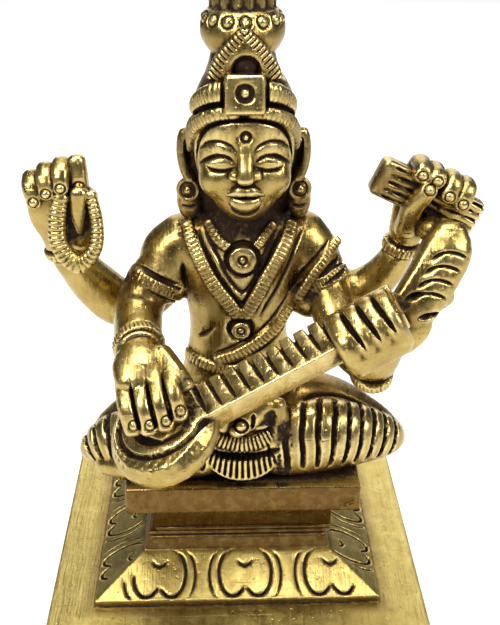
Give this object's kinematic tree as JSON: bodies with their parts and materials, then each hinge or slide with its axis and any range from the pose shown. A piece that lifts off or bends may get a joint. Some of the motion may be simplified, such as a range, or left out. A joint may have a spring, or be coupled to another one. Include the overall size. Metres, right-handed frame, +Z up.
{
  "type": "saraswati figure",
  "caption": "Cast brass idol of a seated four-armed goddess playing a vina, with a palm-leaf book and a rosary, on a square lotus plinth.",
  "frame": {"origin": "centre of the flat underside of the plinth", "axes": "+Z up, the goddess faces -Y, +X to the viewer's right"},
  "size_m": [0.0662, 0.0516, 0.103],
  "materials": {
    "figure_brass": "brushed yellow brass with black-brown antique patina in the grooves",
    "plinth_brass": "satin olive-yellow brushed brass with black-brown patina between the petals"
  },
  "bodies": {
    "root": {"figure": "figure_brass", "plinth": "plinth_brass"}
  },
  "joints": []
}
